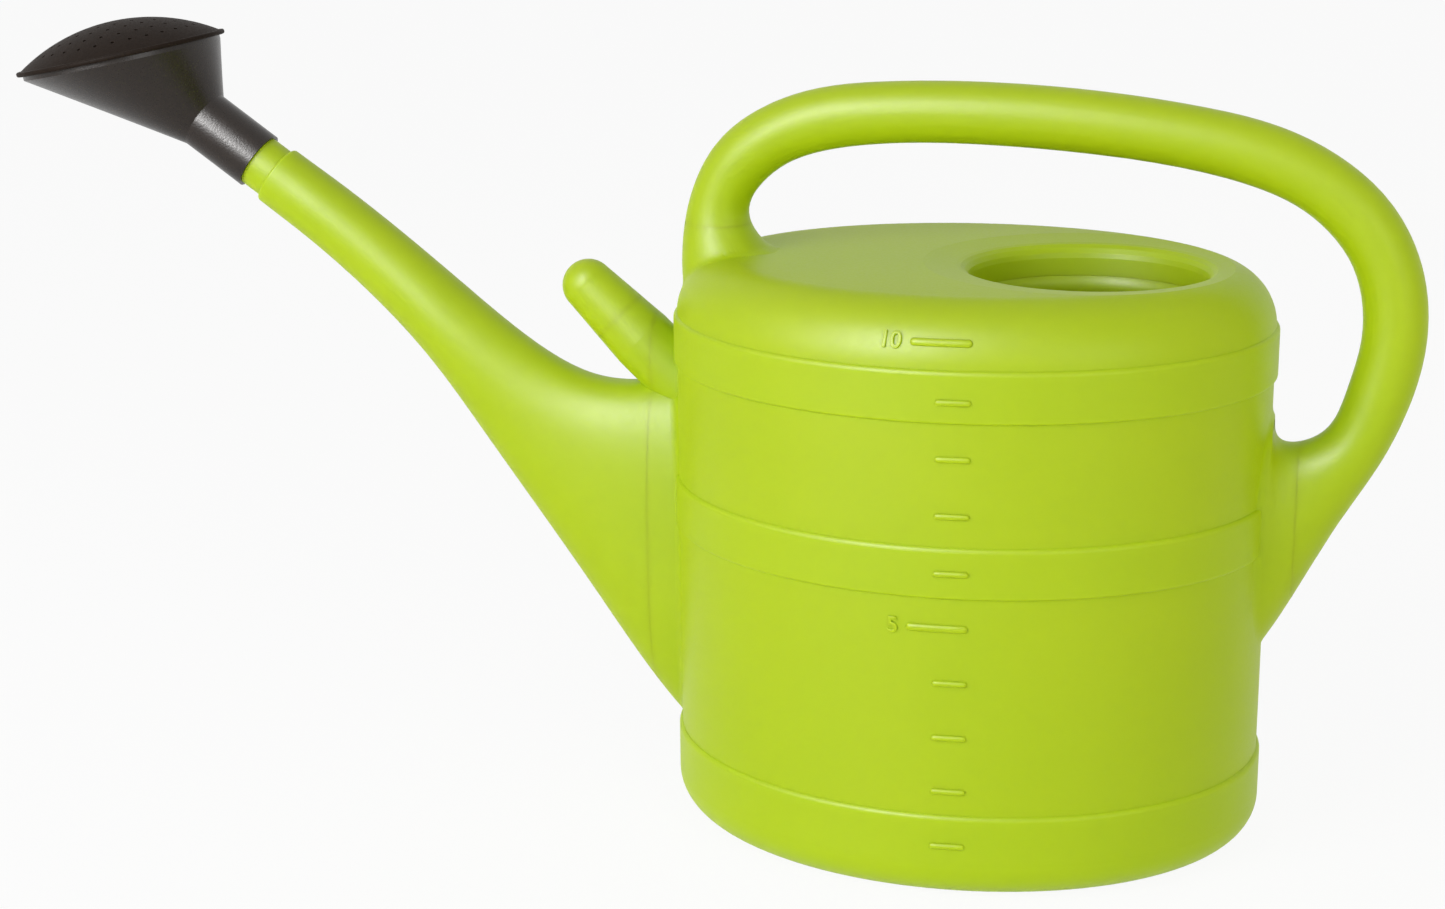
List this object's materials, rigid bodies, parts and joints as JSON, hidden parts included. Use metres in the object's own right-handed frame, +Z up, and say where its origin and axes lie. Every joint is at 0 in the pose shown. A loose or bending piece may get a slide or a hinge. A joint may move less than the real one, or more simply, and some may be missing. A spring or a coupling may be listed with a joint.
{
  "type": "watering can",
  "caption": "Oval blow-moulded watering can with a hollow loop handle, a long web-footed spout, a parking peg and a pull-off rose whose perforated domed face snaps out",
  "frame": {"origin": "centre of the tank's foot, on the ground that the can stands on", "axes": "+Z up; the spout reaches towards -X and the handle's rear towards +X; the plane y = 0 halves the can"},
  "size_m": [0.6352, 0.212, 0.3518],
  "materials": {
    "can_plastic": "satin lime-green blow-moulded polyethylene",
    "rose_plastic": "satin near-black injection-moulded polypropylene"
  },
  "bodies": {
    "can": {"tank": "can_plastic", "spout": "can_plastic", "handle": "can_plastic", "rose_peg": "can_plastic"},
    "rose": {"rose_housing": "rose_plastic"},
    "rose_front": {"rose_face": "rose_plastic"}
  },
  "joints": [
    {"name": "rose_pull", "type": "slide", "parent": "can", "child": "rose", "axis": [-0.8141, 0, 0.5807], "range_m": [0, 0.06]},
    {"name": "face_pull", "type": "slide", "parent": "rose", "child": "rose_front", "axis": [-0.1977, 0, 0.9803], "range_m": [0, 0.03]}
  ]
}
